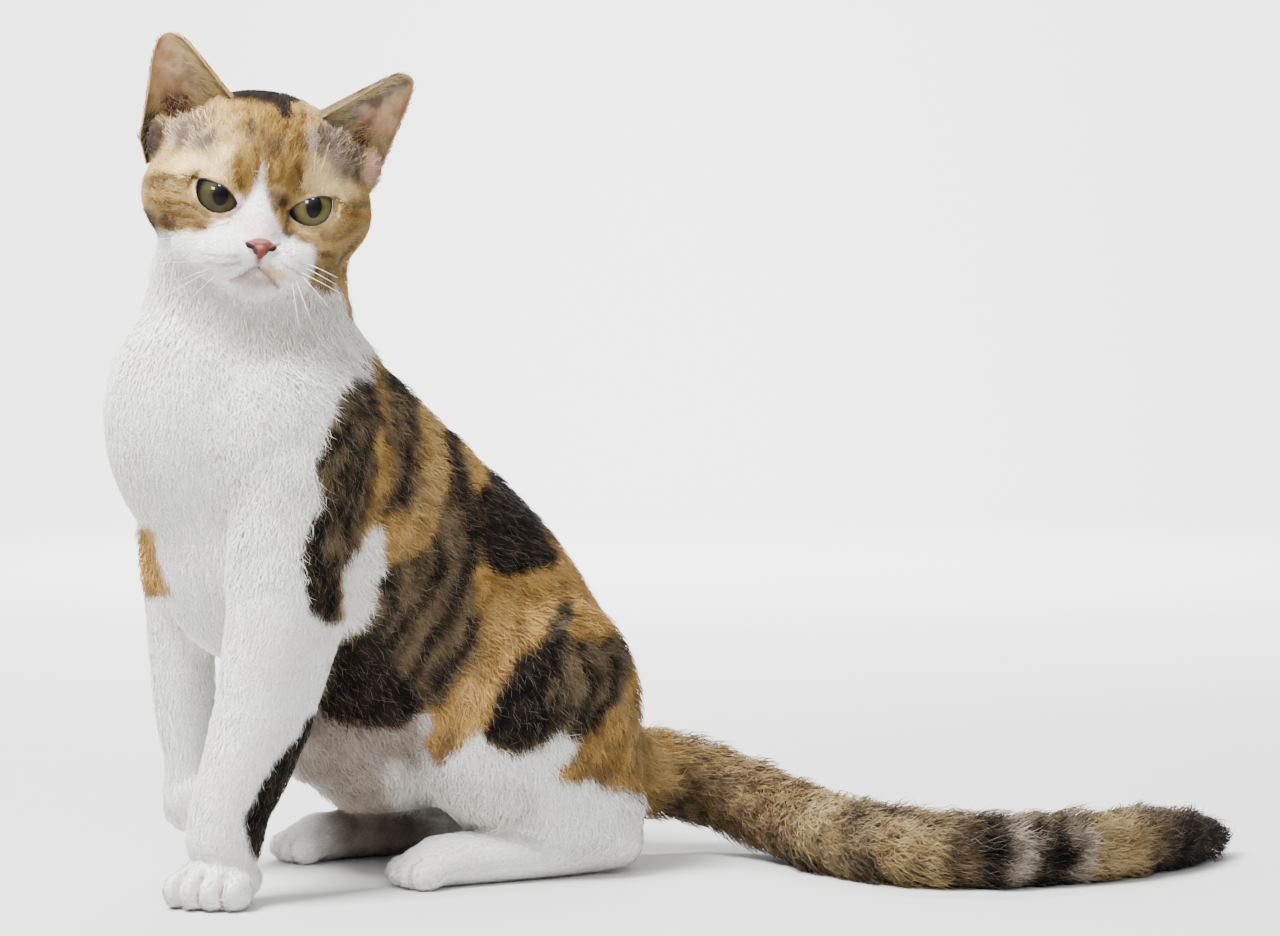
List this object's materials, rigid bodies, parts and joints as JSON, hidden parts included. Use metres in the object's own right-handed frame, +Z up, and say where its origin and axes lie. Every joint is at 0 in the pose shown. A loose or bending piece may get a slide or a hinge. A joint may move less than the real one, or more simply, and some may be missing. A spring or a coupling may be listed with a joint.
{
  "type": "seated american wirehair cat",
  "caption": "Life-size seated calico cat of the wirehair breed, head turned to its left, one forepaw lifted, tail laid out behind.",
  "frame": {"origin": "on the floor under the middle of the box around the cat", "axes": "+Z up, the body faces -Y, the cat's left is +X; the tail reaches towards +Y and +X"},
  "size_m": [0.2644, 0.4822, 0.364],
  "materials": {
    "fur_white": "short wiry white fur",
    "fur_ginger": "short wiry ginger fur with darker stripes",
    "fur_tabby": "short wiry dark tabby fur, ticked",
    "ear": "thin skin with very short hair",
    "eye": "wet and glossy",
    "nose": "bare moist skin"
  },
  "bodies": {
    "root": {"head": "fur_ginger", "neck": "fur_white", "torso": "fur_tabby", "foreleg_left": "fur_white", "foreleg_right": "fur_white", "forepaw_left": "fur_white", "forepaw_right": "fur_white", "hindleg_left": "fur_ginger", "hindleg_right": "fur_ginger", "hindfoot_left": "fur_white", "hindfoot_right": "fur_white", "tail_root": "fur_tabby", "tail_middle": "fur_tabby", "tail_bend": "fur_tabby", "tail_tip": "fur_tabby", "ear_left": "ear", "ear_right": "ear", "eye_left": "eye", "eye_right": "eye", "nose": "nose"}
  },
  "joints": []
}
